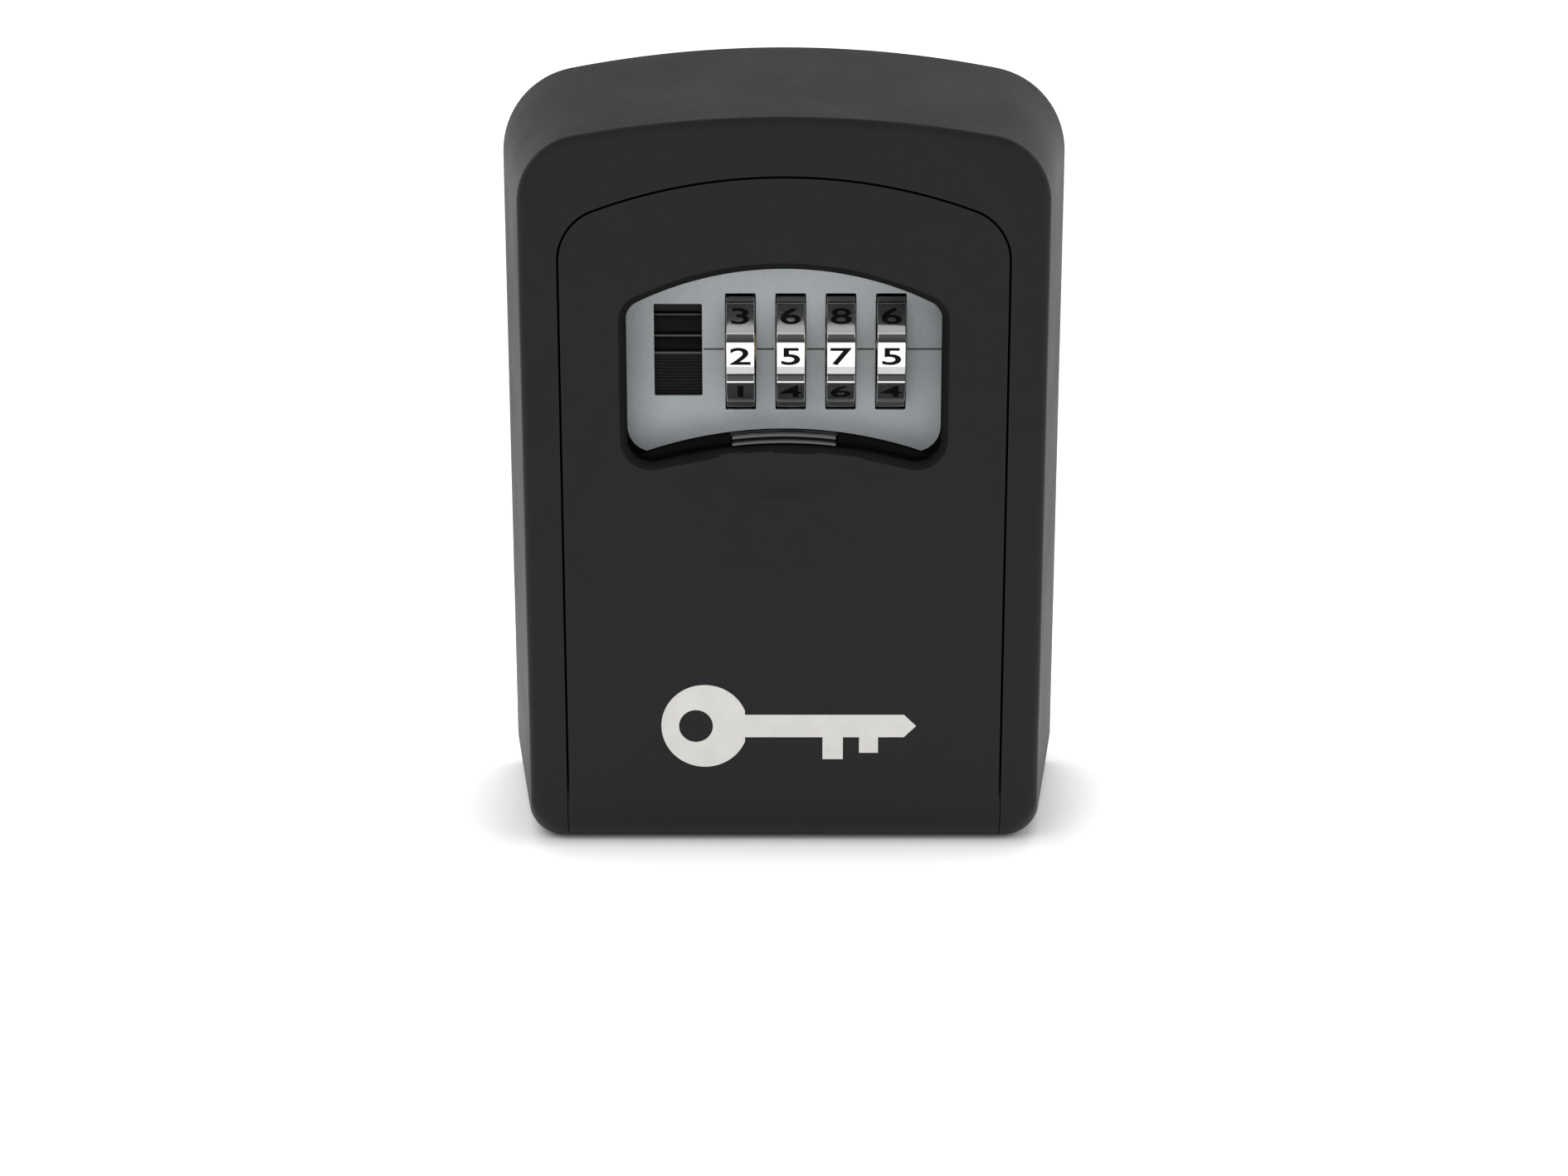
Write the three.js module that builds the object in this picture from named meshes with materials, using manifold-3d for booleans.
// Key lock box: a drafted, arched wall case with a drop-down door that carries four
// dial wheels, a thumb release, a sliding dust shutter and the locking mechanism.
// Units are millimetres. The wall plane is y = 0, the front faces -Y, +Z is up and
// the origin is in the wall plane, on the centre line. Left is -X, right is +X.
import * as THREE from 'three';
import { mergeVertices } from 'three/addons/utils/BufferGeometryUtils.js';
import Module from 'manifold-3d';

const wasm = await Module();
wasm.setup();

// ---------------------------------------------------------------- driving dimensions
const CASE_DEPTH = 37;          // wall plane to front face
const BASE_Z = -57;             // flat underside
const BACK_HALF_W = 42.5;       // half width at the wall
const BACK_TOP_Z = 56.8;
const DRAFT = 4.9;              // how far the front is smaller than the back, per side and at the top
const TOP_R = 168;              // crown of the top edge
const BACK_CORNER_R = 13;
const FRONT_CORNER_R = 9.6;
const BASE_CORNER_R = 5;
const FRONT_EDGE_R = 1.3;       // fillet round the front face
const REAR_EASE = 0.4;          // bevel round the rear edge
const OPENING_LIP = 4;          // thickness of the case's front wall
const LIP_BACK_Y = -CASE_DEPTH + OPENING_LIP;
const FLOOR_Z = -53.4;          // floor of the key compartment
const POST_Z = 30.5;            // height of the key post

const DOOR_HALF_W = 31.9;
const DOOR_TOP_Z = 43.5;
const DOOR_ARCH_R = 78;
const DOOR_CORNER_R = 7.5;
const DOOR_GAP = 0.35;
const DOOR_SKIN = 2.2;
const DOOR_WALL = 2.2;
const TRAY_BACK_Y = -31.5;      // rear edge of the door tray
const COVER_SCREWS = [[-27.6, 27], [27.6, 27], [-25.2, -34], [25.2, -34]];   // x, z

const HINGE_R = 5.8;            // rolled lower edge of the door, flush with front and underside
const HINGE_Y = -CASE_DEPTH + HINGE_R;
const HINGE_Z = BASE_Z + HINGE_R;
const TURNING_FIT = 0.15;       // radial clearance round pins and shaft
const PIN_R = 1.5;
const PIN_BORE_R = PIN_R + TURNING_FIT;
const SCREW_HOLE_R = 1.15;
const CLIP_SCREW_X = 28.0;
const CLIP_SCREW_Y = -21.8;

const WINDOW_HALF_W = 22.6;
const WINDOW_TOP_Z = 30.45;
const WINDOW_BASE_Z = 4.7;
const WINDOW_TOP_R = 48;
const WINDOW_BASE_R = 68.6;
const WINDOW_TOP_CORNER_R = 3;
const WINDOW_BASE_CORNER_R = 3.5;

const DIAL_Y = -23.6;           // dial axis
const DIAL_Z = 16.7;
const DIAL_X = [-6.3, 0.97, 8.23, 15.5];
const DIGITS = 10;
const DIGIT_ANGLE = (2 * Math.PI) / DIGITS;
const SHAFT_R = 1.5;
const SHAFT_BORE_R = SHAFT_R + TURNING_FIT;

const BOLT_PASSAGE_HALF_W = 6.35;   // notch in the door and cover
const SPRING_ARM_X = [-18.6, -14.4];   // arms of the carrier and fence
const SPRING_ARM_BACK_Y = -17.3;
const RELEASE_SPRING_X = -16.5;

// cutters run out to these planes, clear of the body
const CLEAR_FRONT_Y = -40;
const CLEAR_BASE_Z = -60;

// ---------------------------------------------------------------- solid helpers
const SIDES = [-1, 1];          // left, right
// an x range given for the right side, moved to the chosen side
const onSide = (side, inner, outer) => (side < 0 ? [-outer, -inner] : [inner, outer]);

function solid(geometry) {
  const bare = geometry.clone();
  for (const name of Object.keys(bare.attributes)) {
    if (name !== 'position') bare.deleteAttribute(name);
  }
  bare.clearGroups();
  const merged = mergeVertices(bare, 1e-4);
  return new wasm.Manifold(new wasm.Mesh({
    numProp: 3,
    vertProperties: new Float32Array(merged.attributes.position.array),
    triVerts: new Uint32Array(merged.index.array),
  }));
}
function geometryOf(manifold) {
  const mesh = manifold.getMesh();
  const geometry = new THREE.BufferGeometry();
  const positions = new Float32Array(mesh.vertProperties);
  geometry.setAttribute('position', new THREE.BufferAttribute(positions, 3));
  geometry.setIndex(new THREE.BufferAttribute(new Uint32Array(mesh.triVerts), 1));
  geometry.computeVertexNormals();
  return geometry;
}
const join = (...solids) => solids.reduce((whole, part) => whole.add(part));
const cut = (body, ...tools) => tools.reduce((rest, tool) => rest.subtract(tool), body);

const vectors = (points) => points.map(([across, up]) => new THREE.Vector2(across, up));
function shapeOf(points, holes = []) {
  const shape = new THREE.Shape(vectors(points));
  for (const hole of holes) shape.holes.push(new THREE.Path(vectors(hole)));
  return shape;
}
function extrude(points, holes, depth, place) {
  const options = { depth, steps: 1, bevelEnabled: false };
  const geometry = new THREE.ExtrudeGeometry(shapeOf(points, holes), options);
  const position = geometry.attributes.position;
  for (let i = 0; i < position.count; i++) {
    position.setXYZ(i, ...place(position.getX(i), position.getY(i), position.getZ(i)));
  }
  return solid(geometry);
}
// outline in Y and Z, swept along X
const prismX = (points, x0, x1, holes = []) =>
  extrude(points, holes, x1 - x0, (across, up, along) => [x0 + along, across, up]);
// outline in X and Z, swept along Y
const prismY = (points, y0, y1, holes = []) =>
  extrude(points, holes, y1 - y0, (across, up, along) => [across, y1 - along, up]);
// outline in X and Y, swept along Z
const prismZ = (points, z0, z1, holes = []) =>
  extrude(points, holes, z1 - z0, (across, up, along) => [across, up, z0 + along]);

function block(x0, x1, y0, y1, z0, z1) {
  const box = new THREE.BoxGeometry(x1 - x0, y1 - y0, z1 - z0);
  box.translate((x0 + x1) / 2, (y0 + y1) / 2, (z0 + z1) / 2);
  return solid(box);
}
// rows of x0, x1, y0, y1, z0, z1
const blocks = (rows) => join(...rows.map((row) => block(...row)));

function circle(across, up, radius, sides) {
  return Array.from({ length: sides }, (_, i) => {
    const angle = (2 * Math.PI * i) / sides;
    return [across + radius * Math.cos(angle), up + radius * Math.sin(angle)];
  });
}
// an arc from one angle to another, in degrees
function arc(across, up, radius, from, to, steps) {
  return Array.from({ length: steps + 1 }, (_, i) => {
    const angle = THREE.MathUtils.degToRad(from + ((to - from) * i) / steps);
    return [across + radius * Math.cos(angle), up + radius * Math.sin(angle)];
  });
}

// stacked outlines joined into one skin; stations run from the rear (large y) forward
function loft(stations) {
  const steps = stations.length - 1;
  const base = stations[0].points;
  const options = { depth: 1, steps, bevelEnabled: false };
  const geometry = new THREE.ExtrudeGeometry(shapeOf(base), options);
  // the extrusion may reorder the outline, so each vertex is found again by its position
  const key = (across, up) => across.toFixed(4) + ' ' + up.toFixed(4);
  const indexAt = new Map(
    base.map(([across, up], i) => [key(Math.fround(across), Math.fround(up)), i]));
  const position = geometry.attributes.position;
  for (let i = 0; i < position.count; i++) {
    const station = stations[Math.round(position.getZ(i) * steps)];
    const [x, z] = station.points[indexAt.get(key(position.getX(i), position.getY(i)))];
    position.setXYZ(i, x, station.y, z);
  }
  return solid(geometry);
}

// turned part: profile of radius and height, its axis along +Y
const turned = (profile) => new THREE.LatheGeometry(vectors(profile), 12);

// cross-shaped screw recess, swept by one of the prism functions
function crossRecess(prism, across, up, reach, from, to) {
  const bar = (halfAcross, halfUp) => prism([
    [across - halfAcross, up - halfUp], [across + halfAcross, up - halfUp],
    [across + halfAcross, up + halfUp], [across - halfAcross, up + halfUp],
  ], from, to);
  const halfSlot = 0.22;
  return join(bar(reach, halfSlot), bar(halfSlot, reach));
}

// five-sided wire swept through the points
function wire(points, radius, steps) {
  const extrudePath = new THREE.CatmullRomCurve3(points, false, 'centripetal');
  const options = { steps, bevelEnabled: false, extrudePath };
  return solid(new THREE.ExtrudeGeometry(shapeOf(circle(0, 0, radius, 5)), options));
}
// upright coil spring about (x, y)
function coil({ x, y, radius, wireR, z0, z1, turns }) {
  const steps = Math.round(turns * 7);
  const points = Array.from({ length: steps + 1 }, (_, i) => {
    const angle = (2 * Math.PI * turns * i) / steps;
    return new THREE.Vector3(
      x + radius * Math.cos(angle), y + radius * Math.sin(angle), z0 + ((z1 - z0) * i) / steps);
  });
  return wire(points, wireR, steps);
}

// ---------------------------------------------------------------- outlines
// crowned top edge between two rounded corners, from right to left
function crownedTop(halfW, top, crownR, cornerR, crownSteps, cornerSteps) {
  const crownZ = top - crownR;
  const cornerX = halfW - cornerR;
  const cornerZ = crownZ + Math.sqrt((crownR - cornerR) ** 2 - cornerX ** 2);
  const blend = THREE.MathUtils.radToDeg(Math.atan2(cornerZ - crownZ, cornerX));
  return [
    ...arc(cornerX, cornerZ, cornerR, 0, blend, cornerSteps),
    ...arc(0, crownZ, crownR, blend, 180 - blend, crownSteps).slice(1, -1),
    ...arc(-cornerX, cornerZ, cornerR, 180 - blend, 180, cornerSteps),
  ];
}
// straight sides, crowned top, flat base; the base corners are square at radius 0
function arched({
  halfW, top, crownR, cornerR, base, baseCornerR = 0, crownSteps = 10, cornerSteps = 4,
}) {
  const baseCorner = (side, from) => (baseCornerR > 0
    ? arc(side * (halfW - baseCornerR), base + baseCornerR, baseCornerR, from, from + 90, cornerSteps)
    : [[side * halfW, base]]);
  return [
    ...crownedTop(halfW, top, crownR, cornerR, crownSteps, cornerSteps),
    ...baseCorner(-1, 180),
    ...baseCorner(1, 270),
  ];
}
const doorOutline = (grow, base) => arched({
  halfW: DOOR_HALF_W + grow, top: DOOR_TOP_Z + grow,
  crownR: DOOR_ARCH_R + grow, cornerR: DOOR_CORNER_R + grow, base,
});
// the window's base edge is arched upward too
function windowOutline(grow = 0) {
  const halfW = WINDOW_HALF_W + grow;
  const cornerR = WINDOW_BASE_CORNER_R + grow;
  const baseR = WINDOW_BASE_R - grow;
  const baseArcZ = WINDOW_BASE_Z - WINDOW_BASE_R;
  const cornerX = halfW - cornerR;
  const cornerZ = baseArcZ + Math.sqrt((baseR + cornerR) ** 2 - cornerX ** 2);
  const blend = THREE.MathUtils.radToDeg(Math.atan2(cornerZ - baseArcZ, cornerX));
  return [
    ...crownedTop(
      halfW, WINDOW_TOP_Z + grow, WINDOW_TOP_R + grow, WINDOW_TOP_CORNER_R + grow, 12, 4),
    ...arc(-cornerX, cornerZ, cornerR, 180, 360 - blend, 4),
    ...arc(0, baseArcZ, baseR, 180 - blend, blend, 10).slice(1, -1),
    ...arc(cornerX, cornerZ, cornerR, 180 + blend, 360, 4),
  ];
}
function roundedBox(halfW, z0, z1, radius) {
  const x = halfW - radius;
  return [
    ...arc(x, z1 - radius, radius, 0, 90, 3),
    ...arc(-x, z1 - radius, radius, 90, 180, 3),
    ...arc(-x, z0 + radius, radius, 180, 270, 3),
    ...arc(x, z0 + radius, radius, 270, 360, 3),
  ];
}
const hingeDisc = (radius, sides, x0, x1) =>
  prismX(circle(HINGE_Y, HINGE_Z, radius, sides), x0, x1);
const dialDisc = (radius, sides, x0, x1) =>
  prismX(circle(DIAL_Y, DIAL_Z, radius, sides), x0, x1);
const clipScrewHole = (side, z0, z1) =>
  prismZ(circle(side * CLIP_SCREW_X, CLIP_SCREW_Y, SCREW_HOLE_R, 12), z0, z1);

// ---------------------------------------------------------------- materials
const finish = (look) => new THREE.MeshStandardMaterial(look);
const blackCoat = finish({ color: 0x2c2c2d, roughness: 0.55, metalness: 0.1 });
const blackGloss = finish({ color: 0x1b1b1c, roughness: 0.3, metalness: 0.1 });
const blackPlastic = finish({ color: 0x202022, roughness: 0.45, metalness: 0.0 });
const greyPaint = finish({ color: 0x9ea4a8, roughness: 0.5, metalness: 0.2 });
const polished = finish({ color: 0xc9ccd0, roughness: 0.18, metalness: 1.0 });
const steel = finish({ color: 0x9a9ea3, roughness: 0.35, metalness: 1.0 });
const chrome = finish({ color: 0xd5d8dc, roughness: 0.12, metalness: 1.0 });
const brass = finish({ color: 0xb08d4a, roughness: 0.35, metalness: 1.0 });
const springSteel = finish({ color: 0xb4b8bd, roughness: 0.25, metalness: 1.0 });

// ================================================================ case
function caseOutline(y, inset = 0) {
  const towardWall = 1 + y / CASE_DEPTH;              // 0 at the front, 1 at the wall
  const drafted = (front, back) => THREE.MathUtils.lerp(front, back, towardWall);
  // in front of the hinge axis the underside rises along the rolled edge
  const base = y < HINGE_Y
    ? HINGE_Z - Math.sqrt(Math.max(0, HINGE_R ** 2 - (y - HINGE_Y) ** 2))
    : BASE_Z;
  return arched({
    halfW: drafted(BACK_HALF_W - DRAFT, BACK_HALF_W) - inset,
    top: drafted(BACK_TOP_Z - DRAFT, BACK_TOP_Z) - inset,
    crownR: TOP_R - inset,
    cornerR: drafted(FRONT_CORNER_R, BACK_CORNER_R) - inset,
    base,
    baseCornerR: BASE_CORNER_R - inset * 0.5,
    crownSteps: 12,
    cornerSteps: 5,
  });
}
function frontFilletInset(y) {
  const intoFillet = -CASE_DEPTH + FRONT_EDGE_R - y;
  if (intoFillet <= 0) return 0;
  return FRONT_EDGE_R * (1 - Math.sqrt(Math.max(0, 1 - (intoFillet / FRONT_EDGE_R) ** 2)));
}
function caseBody() {
  const stations = [{ y: 0, points: caseOutline(0, REAR_EASE) }];
  for (const y of [-REAR_EASE, -12, -24]) stations.push({ y, points: caseOutline(y) });
  // angles round the rolled edge, from below the hinge axis to the front face
  for (const angle of [0, 18, 36, 51, 62.6, 72, 80, 90]) {
    const y = angle === 90
      ? -CASE_DEPTH
      : HINGE_Y - HINGE_R * Math.sin(THREE.MathUtils.degToRad(angle));
    stations.push({ y, points: caseOutline(y, frontFilletInset(y)) });
  }
  return loft(stations);
}
// follows the draft, with a bevelled mouth behind the front wall
function keyCompartment() {
  // y, half width, top z, corner radius
  const stations = [
    [-2.5, 38.2, 51.6, 9], [-14, 36.8, 50.2, 8.5],
    [-30.4, 34.7, 47.9, 8], [LIP_BACK_Y, 33.6, 46.9, 7.5],
  ];
  return loft(stations.map(([y, halfW, top, cornerR]) => ({
    y, points: arched({ halfW, top, crownR: 150, cornerR, base: FLOOR_Z, baseCornerR: 4 }),
  })));
}
// One die-cast shell: drafted sides, crowned top, flat underside, open at the front.
function caseShell() {
  const curlHalfW = DOOR_HALF_W + DOOR_GAP;
  const curlBackY = HINGE_Y + HINGE_R + DOOR_GAP;
  const opening = doorOutline(DOOR_GAP, CLEAR_BASE_Z);
  let shell = cut(
    caseBody(),
    prismY(opening, CLEAR_FRONT_Y, LIP_BACK_Y + 0.6),
    keyCompartment(),
    // room for the door's rolled lower edge
    block(-curlHalfW, curlHalfW, CLEAR_FRONT_Y, curlBackY, CLEAR_BASE_Z, -44),
    block(-34.6, 34.6, HINGE_Y - 1.8, curlBackY, FLOOR_Z, -44));
  // ledge behind the hinge
  const ledge = [[-24.8, -55], [-13.4, -55], [-13.4, -47.6], [-14.4, -46.6], [-24.8, -46.6]];
  shell = join(shell, prismX(ledge, -35.4, 35.4));
  // boss for the key post, with two ribs running up to the top wall
  const bossOutline = [...arc(-3.2, POST_Z, 3.6, 90, 270, 6), ...arc(3.2, POST_Z, 3.6, -90, 90, 6)];
  const ribOutline = [[4.6, 31], [6.2, 31], [8.4, 52.2], [6.6, 52.2]];
  shell = join(shell, prismY(bossOutline, -4.6, -2));
  for (const side of SIDES) {
    shell = join(shell, prismY(ribOutline.map(([x, z]) => [side * x, z]), -4.2, -2));
  }
  shell = cut(shell, prismY(circle(0, POST_Z, 1.55, 12), -4.7, -2.9));
  for (const side of SIDES) {
    // wall fixing holes
    for (const z of [-30, 30]) shell = cut(shell, prismY(circle(side * 20, z, 2.7, 16), -3, 1));
    // blind seats for the hinge pins and the bracket screws
    shell = cut(
      shell,
      hingeDisc(PIN_BORE_R, 12, ...onSide(side, 30, 37)),
      clipScrewHole(side, -50.6, -46));
  }
  return shell;
}
// key hook: a turned post with a ball end, pointing forward
function keyPost() {
  const post = turned([
    [0, 0], [1.4, 0], [1.4, 4.6], [1.8, 4.9], [2.1, 5.5], [2.1, 6.1], [1.7, 6.8], [0.8, 7.2], [0, 7.2],
  ]);
  post.rotateX(Math.PI);
  post.translate(0, -3.0, POST_Z);
  return solid(post);
}

// ================================================================ hinge hardware
const hingePin = (side) => hingeDisc(PIN_R, 12, ...onSide(side, 20.1, 36.8));
// bracket: an eye round the pin, a web and a foot over the ledge
function hingeClip(side) {
  const footBackY = -19.2;
  const footZ = [-46.3, -45.3];
  const eye = [
    ...arc(HINGE_Y, HINGE_Z, 3.2, 70, 360, 10), [-28.5, -49.2], [-25.4, footZ[0]],
    [footBackY, footZ[0]], [footBackY, footZ[1]], [-29.6, footZ[1]],
  ];
  const pinHole = circle(HINGE_Y, HINGE_Z, PIN_BORE_R, 12);
  const web = prismX(eye, ...onSide(side, 24.5, 25.6), [pinHole]);
  const foot = block(...onSide(side, 24.5, 30.4), -24.4, footBackY, ...footZ);
  return join(web, cut(foot, clipScrewHole(side, -47, -45)));
}
function hingeClipScrew(side) {
  const x = side * CLIP_SCREW_X;
  const screw = turned([
    [0, -4.4], [0.95, -4.4], [0.95, 0.05], [1.9, 0.05], [1.9, 0.75], [1.5, 1.15], [0, 1.15],
  ]);
  screw.rotateX(Math.PI / 2);                        // head up
  screw.translate(x, CLIP_SCREW_Y, -45.25);
  return cut(solid(screw), crossRecess(prismZ, x, CLIP_SCREW_Y, 1.1, -44.6, -43));
}
// torsion spring round the pin: one leg bears on the ledge, the other on the door
function hingeSpring(side) {
  const outerX = side * 31.5;
  const innerX = side * 26.5;
  const coilR = 2.35;
  const turns = 4.5;
  const coilSteps = 41;
  const leg = (x, points) => points.map(([y, z]) => new THREE.Vector3(x, y, z));
  const coils = Array.from({ length: coilSteps + 1 }, (_, i) => {
    const angle = (-2 * Math.PI * turns * i) / coilSteps;
    return new THREE.Vector3(
      outerX + ((innerX - outerX) * i) / coilSteps,
      HINGE_Y + coilR * Math.cos(angle),
      HINGE_Z + coilR * Math.sin(angle));
  });
  return wire([
    ...leg(outerX, [[-22.9, -46.05], [-26.4, -46.05], [-28.4, -47.6]]),
    ...coils,
    ...leg(innerX, [[-33.75, -48.4], [-33.95, -45.6]]),
  ], 0.4, 50);
}

// ================================================================ door
function doorShell() {
  let door = prismY(doorOutline(0, HINGE_Z), -CASE_DEPTH, TRAY_BACK_Y);
  const trayInside = doorOutline(-DOOR_WALL, -42.6);
  door = cut(door, prismY(trayInside, -CASE_DEPTH + DOOR_SKIN, TRAY_BACK_Y + 1));
  // rolled lower edge: a full barrel between the hinge hardware, a curled skin outside it
  door = join(door, hingeDisc(HINGE_R, 28, -DOOR_HALF_W, DOOR_HALF_W));
  const curlFrontY = HINGE_Y - 3.3;
  const behindCurl = [
    [HINGE_Y + 0.9, CLEAR_BASE_Z], [-20, CLEAR_BASE_Z], [-20, -44.6],
    [curlFrontY, -44.6], [curlFrontY, HINGE_Z], [HINGE_Y, HINGE_Z],
  ];
  for (const side of SIDES) {
    const curlX = onSide(side, 24, DOOR_HALF_W + 1);
    door = cut(
      door,
      hingeDisc(3.6, 20, ...curlX),
      prismX(behindCurl, ...curlX),
      hingeDisc(PIN_BORE_R, 12, ...onSide(side, 19.8, 25)));
  }
  door = cut(door, prismY(windowOutline(), CLEAR_FRONT_Y, -30));
  // finger scoop below the window
  const scoop = [[-38, 3.0], [-37, 3.0], [-36.3, 1.6], [-36.3, -2.4], [-37, -3.4], [-38, -3.4]];
  door = cut(door, prismX(scoop, -7.5, 7.5));
  // screw bosses
  for (const [x, z] of COVER_SCREWS) {
    door = join(door, prismY(circle(x, z, 2.0, 12), -35.4, TRAY_BACK_Y));
    door = cut(door, prismY(circle(x, z, 1.0, 10), -34.4, TRAY_BACK_Y + 1));
  }
  // notch where the bolt passes the top wall
  return cut(door, block(-BOLT_PASSAGE_HALF_W, BOLT_PASSAGE_HALF_W, -33.05, -31, 38.5, 45));
}

// guide frame: backs the shutter and walls in the window
function shutterFrame() {
  const halfW = 25.2;
  const base = -24.4;
  const plate = [
    [-halfW, base], [halfW, base], [halfW, 33.2], [20, 34.2], [-20, 34.2], [-halfW, 33.2],
  ];
  let frame = join(
    prismY(plate, -33.2, -32.0),
    prismY(windowOutline(1.5), -32.6, -29.2));
  frame = cut(frame, prismY(windowOutline(0.25), CLEAR_FRONT_Y, -28));
  // side rails for the shutter
  for (const side of SIDES) {
    frame = join(frame, block(...onSide(side, 24.5, halfW), -34.65, -33, base, 33.0));
  }
  return cut(frame, block(-6.6, 6.6, -33.5, -31.6, 33.0, 35));
}

// shutter: parked below the window, its lip showing in it
function shutter() {
  const frontY = -34.6;
  const halfW = 24.2;
  const topR = 61;
  const topArcZ = 6.5 - topR;
  const base = -22.6;
  const spread = THREE.MathUtils.radToDeg(Math.asin(halfW / topR));
  const outline = [
    ...arc(0, topArcZ, topR, 90 - spread, 90 + spread, 14), [-halfW, base], [halfW, base],
  ];
  const lip = prismX([
    [frontY, 6.6], [-36.0, 6.6], [-36.45, 6.25], [-36.2, 5.75],
    [-36.5, 5.25], [-36.2, 4.88], [frontY, 4.88],
  ], -7.7, 7.7);
  // trims the lip to the crowned top edge
  const aboveTop = [[-9, 7.2], [9, 7.2], ...arc(0, topArcZ, topR, 90 - 9, 90 + 9, 6)];
  return join(
    prismY(outline, frontY, -33.5),
    cut(lip, prismY(aboveTop, CLEAR_FRONT_Y, -30)));
}

function dialPlate() {
  const frontY = -29;
  const thickness = 0.6;
  const throughY = [-30, -27];
  const outline = [
    [-24.3, 2], [-22.8, 0.5], [22.8, 0.5], [24.3, 2],
    [24.3, 31.6], [22.6, 33.4], [-22.6, 33.4], [-24.3, 31.6],
  ];
  const slotHalfW = 2.2;
  const slotHalfH = 8.65;
  let plate = prismY(outline, frontY, frontY + thickness);
  for (const x of DIAL_X) {
    plate = cut(plate, block(
      x - slotHalfW, x + slotHalfW, ...throughY, DIAL_Z - slotHalfH, DIAL_Z + slotHalfH));
  }
  const releaseSlot = block(-18.84, -11.88, ...throughY, 10.18, 23.8);
  const indexLine = block(-10.9, 24.4, -29.2, -28.85, DIAL_Z + 0.25, DIAL_Z + 0.5);
  return cut(plate, releaseSlot, indexLine);
}

// mechanism cover: a flange on the tray and a raised box over the dials, with a smaller
// box over the bolt
function mechanismCover() {
  const boltBox = [
    [-7.8, 35], [7.8, 35], [7.8, 41.2], [7.0, 42.0], [-7.0, 42.0], [-7.8, 41.2],
  ];
  let cover = join(
    prismY(doorOutline(-0.6, -43.4), -31.4, -30.2),
    prismY(roundedBox(25.7, -2.2, 37.9, 4), -31.0, -10.8),
    prismY(boltBox, -31.0, -24.6));
  cover = cut(
    cover,
    prismY(roundedBox(24.6, -1.0, 36.8, 3), CLEAR_FRONT_Y, -12.0),
    block(-6.6, 6.6, CLEAR_FRONT_Y, -25.7, 35, 41.0),
    block(-BOLT_PASSAGE_HALF_W, BOLT_PASSAGE_HALF_W, -33, -30.4, 38.5, 45));
  // ribs that carry the dial shaft in snap seats
  const ribOutline = [[-25.8, 11.2], [-11.4, 11.2], [-11.4, 22.2], [-25.8, 22.2]];
  for (const [x0, x1] of [[-13.2, -12.0], [20.9, 21.9]]) {
    cover = join(cover, cut(
      prismX(ribOutline, x0, x1),
      dialDisc(SHAFT_BORE_R, 16, x0 - 1, x1 + 1),
      block(x0 - 1, x1 + 1, -27, DIAL_Y, DIAL_Z - 1.3, DIAL_Z + 1.3)));
  }
  // code change slot
  cover = cut(cover, block(-11.3, -8.3, -12.4, -10, 13.4, 20.0));
  for (const [x, z] of COVER_SCREWS) {
    cover = cut(cover, prismY(circle(x, z, SCREW_HOLE_R, 10), -32, -30));
  }
  return cover;
}
// its head faces the rear
function coverScrew(x, z) {
  const screw = turned([
    [0, 0], [0.85, 0], [0.85, 3.9], [1.8, 3.9], [1.8, 4.6], [1.4, 5.0], [0, 5.0],
  ]);
  screw.translate(x, -34.05, z);
  return cut(solid(screw), crossRecess(prismY, x, z, 1.05, -29.5, -28));
}

// ================================================================ dials
// a point at a distance out along an angle from the dial axis, shifted along the tangent
const dialPoint = (angle, out, along = 0) => [
  DIAL_Y + out * Math.cos(angle) - along * Math.sin(angle),
  DIAL_Z + out * Math.sin(angle) + along * Math.cos(angle),
];
function dialWheel(x) {
  const halfW = 2.05;
  const apothem = 9.4;          // centre to digit facet
  const facetHalf = 2.35;       // half height of a digit facet
  const grooveR = 9.05;
  const boreR = 7.0;
  const toothRootR = 7.7;
  const counterboreR = 7.8;
  const slotHalfAngle = 0.8 / boreR;
  const rim = [];
  const keyedBore = [];
  for (let digit = 0; digit < DIGITS; digit++) {
    const angle = Math.PI + digit * DIGIT_ANGLE;     // the first digit faces the front
    const between = angle + DIGIT_ANGLE / 2;
    rim.push(
      dialPoint(angle, apothem, -facetHalf),
      dialPoint(angle, apothem, facetHalf),
      dialPoint(between, grooveR));
    keyedBore.push(
      dialPoint(angle - slotHalfAngle, boreR),
      dialPoint(angle - slotHalfAngle, toothRootR),
      dialPoint(angle + slotHalfAngle, toothRootR),
      dialPoint(angle + slotHalfAngle, boreR),
      dialPoint(between, boreR));
  }
  const round = (radius) => circle(DIAL_Y, DIAL_Z, radius, 20);
  return join(
    prismX(rim, x - halfW, x - 0.1, [keyedBore]),
    prismX(rim, x - 0.1, x + 1.6, [round(counterboreR)]),
    prismX(rim, x + 1.6, x + halfW, [round(boreR)]));
}
// keyed drum inside the wheel and a gated hub beside it
function tumbler(x) {
  const keyHalf = 0.6;
  const keyR = [6, 7.45];       // root and tip
  let body = dialDisc(6.8, 20, x - 1.85, x + 0.3);
  for (const angle of [0, Math.PI]) {
    body = join(body, prismX([
      dialPoint(angle, keyR[0], -keyHalf), dialPoint(angle, keyR[1], -keyHalf),
      dialPoint(angle, keyR[1], keyHalf), dialPoint(angle, keyR[0], keyHalf),
    ], x - 1.75, x - 0.35));
  }
  body = join(body, dialDisc(4.2, 20, x + 0.2, x + 3.2));
  const gate = block(x + 2.2, x + 3.3, DIAL_Y - 1.1, DIAL_Y + 1.1, DIAL_Z + 2.5, DIAL_Z + 9);
  return cut(body, dialDisc(SHAFT_BORE_R, 16, x - 3, x + 4), gate);
}
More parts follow.
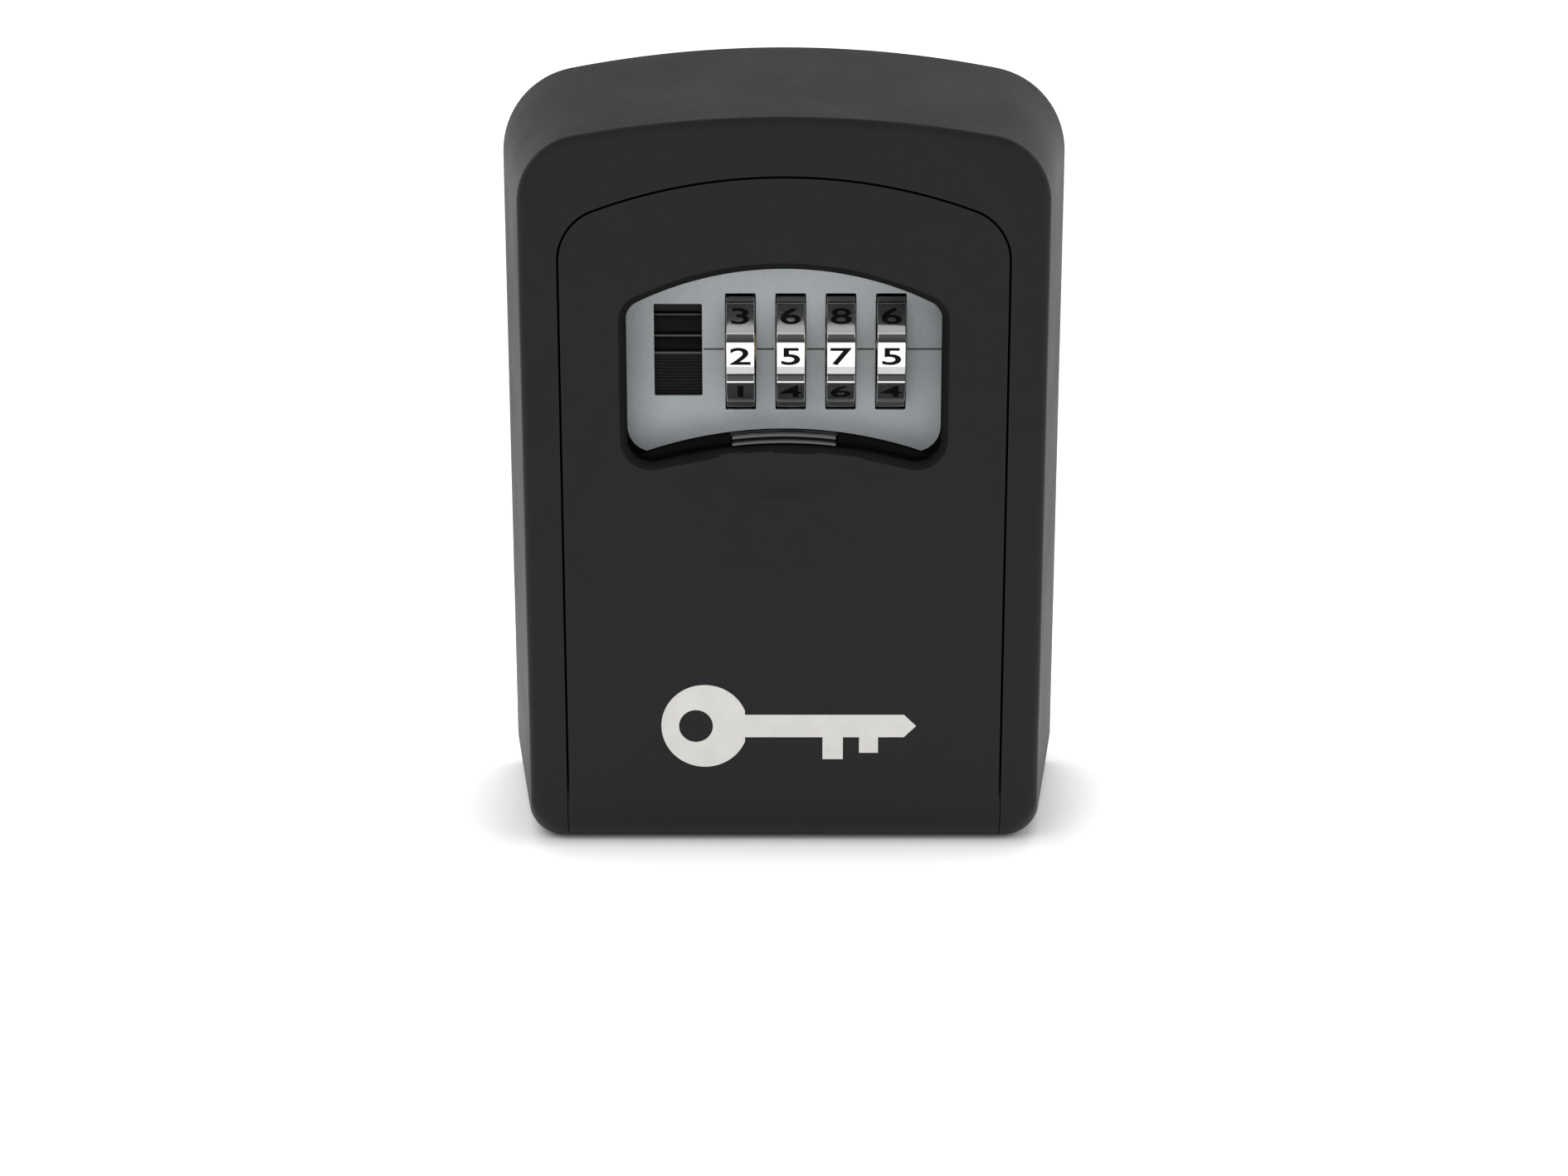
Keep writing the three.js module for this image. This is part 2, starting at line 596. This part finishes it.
function dialShaft() {
  const grooveCore = circle(DIAL_Y, DIAL_Z, 1.0, 12);
  const grooveRing = prismX(circle(DIAL_Y, DIAL_Z, 3, 12), -11.2, -10.2, [grooveCore]);
  return cut(dialDisc(SHAFT_R, 16, -13.4, 22.2), grooveRing);
}
// fork in the shaft groove, knob outside the cover
function codeChangeTab() {
  const fork = [[-24.9, 13.9], [-10.4, 13.9], [-10.4, 19.5], [-24.9, 19.5]];
  const knob = [[-12.2, 14.2], [-9.2, 14.2], [-9.2, 19.2], [-12.2, 19.2]];
  const slotHalf = 1.15;
  return join(
    cut(
      prismX(fork, -11.05, -10.35),
      block(-12, -9, -26, DIAL_Y + slotHalf, DIAL_Z - slotHalf, DIAL_Z + slotHalf)),
    block(-14, -6, -10.6, -9.9, 12.7, 20.7),
    prismY(knob, -10.2, -8.9));
}
// bowed leaf at the right end of the shaft
function changeSpring() {
  const centreX = 31.55;
  return prismY([
    ...arc(centreX, DIAL_Z, 9.2, 180 - 36, 180 + 36, 6),
    ...arc(centreX, DIAL_Z, 8.9, 180 + 36, 180 - 36, 6),
  ], -25.1, -22.1);
}
// detent leaf: one strip on the floor of the cover with a finger under each wheel
function detentSpring() {
  const finger = [             // y, z
    [-15.7, -0.8], [-14.7, -0.6], [-14.3, 0.2], [-15.5, 1.6], [-22.8, 6.45], [-23.6, 7.3],
    [-24.4, 6.45], [-25.5, 5.1], [-25.2, 4.85], [-24.15, 6.1], [-23.6, 6.7], [-23.05, 6.1],
    [-15.9, 1.3], [-14.85, 0.15], [-15.1, -0.4], [-15.7, -0.4],
  ];
  return join(
    block(-8.4, 17.6, -25.1, -15.1, -0.8, -0.4),
    ...DIAL_X.map((x) => prismX(finger, x - 1.5, x + 1.5)));
}

// ================================================================ release and bolt
// thumb slider with a toothed front
function releaseSlider() {
  return prismX([
    [-26.1, 5.5], [-26.1, 27.6], [-27.0, 27.6], [-27.0, 21.95], [-27.9, 21.95],
    [-26.6, 18.85], [-28.1, 18.85], [-26.8, 16.35], [-28.1, 16.35], [-28.1, 5.5],
  ], -19.6, -11.2);
}
// upright strip with an arm to the rear at each end
function releaseCarrier() {
  const frontY = -25.8;
  return blocks([
    [-19.3, -14.2, frontY, -24.5, 9.0, 34.4],
    [...SPRING_ARM_X, frontY, SPRING_ARM_BACK_Y, 9.0, 10.2],
    [...SPRING_ARM_X, frontY, SPRING_ARM_BACK_Y, 33.2, 34.4],
  ]);
}
// a comb over the tumblers with a hook for the bolt
function fence() {
  const sheetY = [-24.3, -22.9];
  return blocks([
    [-14.0, 20.6, ...sheetY, 30.9, 33.0],
    [-14.0, -10.0, ...sheetY, 26.8, 32],
    [-18.6, -13.0, ...sheetY, 26.8, 29.9],
    [...SPRING_ARM_X, ...sheetY, 20.0, 28],
    [...SPRING_ARM_X, sheetY[0], SPRING_ARM_BACK_Y, 20.0, 21.2],
    ...DIAL_X.map((x) => [x + 2.4, x + 4.9, ...sheetY, 22.3, 31.5]),
    [-3.5, 3.5, -26.1, -23.8, 32.25, 33.4],          // hook
  ]);
}
function latchBolt() {
  const tongue = [[-32.7, 36.5], [-30.5, 36.5], [-30.5, 41.4], [-31.9, 43.3], [-32.7, 43.3]];
  return join(
    blocks([
      [-4.5, 4.5, -27.9, -26.5, 27.9, 37.5],         // strap
      [-3.5, 3.5, -27.0, -24.7, 27.9, 29.1],         // tab under the fence's hook
      [-4.5, 4.5, -32.7, -27.5, 36.0, 37.5],         // web
    ]),
    prismX(tongue, -6.0, 6.0));
}
const releaseSpring = () => coil({
  x: RELEASE_SPRING_X, y: -20.0, radius: 1.7, wireR: 0.3, z0: -0.6, z1: 8.6, turns: 5,
});
const fenceSpring = () => coil({
  x: RELEASE_SPRING_X, y: -19.7, radius: 1.5, wireR: 0.28, z0: 21.6, z1: 32.8, turns: 6,
});
const latchSpring = () => coil({
  x: 0, y: -30.6, radius: 1.0, wireR: 0.22, z0: 32.5, z1: 35.6, turns: 3,
});

// ================================================================ assembly
const lockBox = new THREE.Group();
lockBox.name = 'key_lock_box';
function add(name, manifold, material) {
  const mesh = new THREE.Mesh(geometryOf(manifold), material);
  mesh.name = name;
  lockBox.add(mesh);
}
const sideName = (side) => (side < 0 ? 'left' : 'right');

add('case_shell', caseShell(), blackCoat);
add('key_post', keyPost(), steel);
for (const side of SIDES) {
  add(`hinge_pin_${sideName(side)}`, hingePin(side), chrome);
  add(`hinge_clip_${sideName(side)}`, hingeClip(side), chrome);
  add(`hinge_clip_screw_${sideName(side)}`, hingeClipScrew(side), chrome);
}
for (const side of SIDES) add(`hinge_spring_${sideName(side)}`, hingeSpring(side), springSteel);

add('door_shell', doorShell(), blackCoat);
add('shutter_frame', shutterFrame(), blackPlastic);
add('shutter', shutter(), blackGloss);
add('dial_plate', dialPlate(), greyPaint);
add('mechanism_cover', mechanismCover(), blackPlastic);
COVER_SCREWS.forEach(([x, z], i) => add(`cover_screw_${i + 1}`, coverScrew(x, z), steel));

DIAL_X.forEach((x, i) => {
  add(`dial_wheel_${i + 1}`, dialWheel(x), polished);
  add(`tumbler_${i + 1}`, tumbler(x), brass);
});
add('dial_shaft', dialShaft(), steel);
add('code_change_tab', codeChangeTab(), blackPlastic);
add('change_spring', changeSpring(), springSteel);
add('detent_spring', detentSpring(), springSteel);

add('release_slider', releaseSlider(), blackPlastic);
add('release_carrier', releaseCarrier(), steel);
add('fence', fence(), steel);
add('latch_bolt', latchBolt(), steel);
add('release_spring', releaseSpring(), springSteel);
add('fence_spring', fenceSpring(), springSteel);
add('latch_spring', latchSpring(), springSteel);

export default lockBox;
